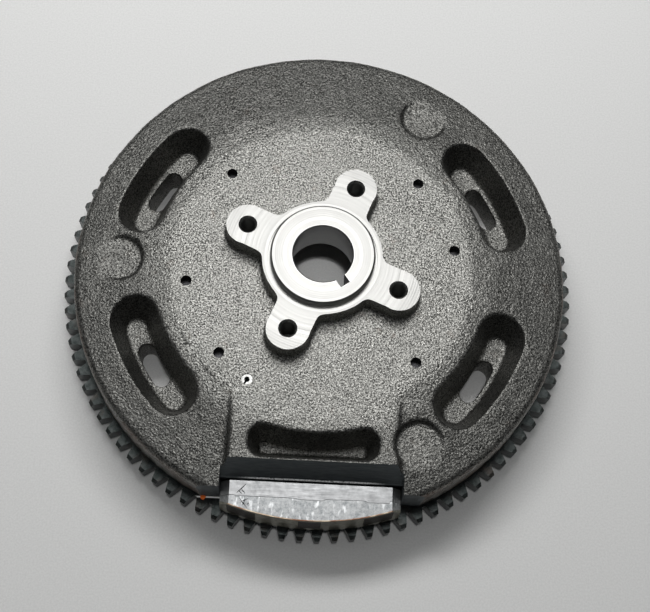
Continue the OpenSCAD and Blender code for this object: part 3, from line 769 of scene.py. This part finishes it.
def make_magnet_set():
    bar = set_body("magnet_backing_bar_detail")
    combine(bar, [seam_side("keep", 0.07)], "INTERSECT")
    carrier = set_body("magnet_carrier_detail")
    rooms = [seam_side("behind", -0.07)]
    for side in (-1, 1):
        low, high = sorted((side * POLE_X[0], side * POLE_X[1]))
        room = prism_z(f"pole_room_{side + 1}", [(low, -130), (high, -130), (high, -90), (low, -90)],
                       *MAGNET_ROOM_Z)
        cut(room, lathe("inside", [(0, 5), (POLE_BACK_R, 5), (POLE_BACK_R, 35), (0, 35)], 720))
        rooms.append(room)
        rooms.append(rod(f"screw_room_{side + 1}", side * SET_SCREW_X, -SET_SCREW_Y,
                         [(SET_SCREW_R, 5), (SET_SCREW_R, 21)]))
    rooms.append(prism_z("magnet_room", [(-MAGNET_HALF_W, -130), (MAGNET_HALF_W, -130),
                                         (MAGNET_HALF_W, -MAGNET_BACK_Y), (-MAGNET_HALF_W, -MAGNET_BACK_Y)],
                         *MAGNET_ROOM_Z))
    cut(carrier, *rooms)
    for piece, marks in ((bar, BAR_SCUFFS), (carrier, CARRIER_SCUFFS)):
        cut(piece, *[scratch(f"scuff_{k}", a, b) for k, (a, b) in enumerate(marks)])
        step = piece.modifiers.new("edges", "BEVEL")
        step.width = 0.2 * MM
        step.segments = 2
        step.limit_method = "ANGLE"
        step.angle_limit = math.radians(40)
        bake(piece)
        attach(piece, "root")
    bar_metal = ground_material("bar_steel", (0.44, 0.445, 0.45), 0.4, 0.95, 0.8, 0.03,
                                dirt=(0.14, 0.15, 0.15), dirt_amount=0.7, stretch=(0.12, 1, 1))
    set_materials(bar, bar_metal)
    set_materials(carrier, carrier_material())
    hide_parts("magnet_backing_bar")
    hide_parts("magnet_carrier")


def make_paint_dab():
    """Orange inspection paint over the foot of a flat and the gear beside it."""
    path = [(-104.45, 13.9), (-104.55, 13.2), (-104.70, 12.3), (-104.85, 11.75), (-105.25, 11.56),
            (-105.9, 11.53), (-106.5, 11.52)]
    widths = (0.35, 1.05, 1.45, 1.6, 1.5, 1.15, 0.4)
    rings = []
    for k, ((y, z), w) in enumerate(zip(path, widths)):
        before, after = Vector(path[max(k - 1, 0)]), Vector(path[min(k + 1, len(path) - 1)])
        out = (after - before).orthogonal().normalized() * 0.13
        x = -48.3 + 0.18 * math.sin(2.3 * k)
        under, over = (y - out.x * 0.8, z - out.y * 0.8), (y + out.x, z + out.y)
        rings.append([(x - w, *under), (x + w, *under), (x + w * 0.8, *over), (x - w * 0.8, *over)])
    dab = loft("paint_dab", rings)
    smooth_shading(dab, 60)
    step = dab.modifiers.new("soft", "SUBSURF")
    step.levels = step.render_levels = 2
    bake(dab)
    s = Shader("orange_paint", (0.75, 0.16, 0.04), 0.0, 0.45)
    s.color(s.mix(s.fit(s.noise(0.8, 3.0), 0.35, 0.7), (1.0, 0.25, 0.04), (0.85, 0.16, 0.04)))
    s.bump((s.noise(0.5, 2.0), 0.05, 0.5))
    set_materials(dab, s.material)
    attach(dab, "root")


# ---------------------------------------------------------------- carried-over nodes
def soften(name, width, material, segments=2):
    """A CAD node that keeps its shape and gets small edge breaks and its finish."""
    obj = node_material(name, material)
    step = obj.modifiers.new("edges", "BEVEL")
    step.width = width * MM
    step.segments = segments
    step.limit_method = "ANGLE"
    step.angle_limit = math.radians(32)
    step.harden_normals = False
    return obj


def finish_nodes():
    soften("starter_ring_gear", 0.22, gear_material())
    soften("ignition_magnet", 0.2, ground_material("ignition_ferrite", (0.035, 0.03, 0.028), 0.6, 0.2))
    pole = ground_material("pole_steel", (0.03, 0.026, 0.021), 0.5, 0.7, 0.35, 0.06,
                           dirt=(0.03, 0.022, 0.016), dirt_amount=0.8, stretch=(1, 1, 3))
    soften("pole_shoe_leading", 0.2, pole)
    soften("pole_shoe_trailing", 0.2, pole)
    # Painted shade: the screws are made nearly black so that the web holes above the rotor screws' ends
    # read dark.
    screw = ground_material("screw_steel", (0.05, 0.05, 0.053), 0.4, 0.8)
    soften("magnet_screws", 0.2, screw)
    soften("rotor_screws", 0.2, screw)
    soften("timing_pin", 0.15, ground_material("pin_steel", (0.3, 0.3, 0.29), 0.3))
    ring = turned_material("ring_steel", (0.36, 0.36, 0.37), 0.4, 0.7, 0.03)
    soften("rotor_plate", 0.25, ring)
    soften("rotor_band", 0.25, ring)
    cage = Shader("cage_plastic", (0.03, 0.03, 0.033), 0.0, 0.55)
    mottle = cage.fit(cage.noise(5, 3.0), 0.35, 0.7)
    cage.color(cage.mix(mottle, (0.026, 0.026, 0.029), (0.042, 0.041, 0.044)))
    cage.bump((cage.noise(0.35, 2.0), 0.03, 0.5))
    soften("magnet_cage", 0.3, cage.material)
    ferrite = ground_material("rotor_ferrite", (0.10, 0.10, 0.11), 0.5, 0.3, 0.5, 0.03)
    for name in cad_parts:
        if name.startswith("rotor_magnet"):
            soften(name, 0.3, ferrite)


make_camera()
make_studio()
make_casting()
make_magnet_set()
make_paint_dab()
finish_nodes()
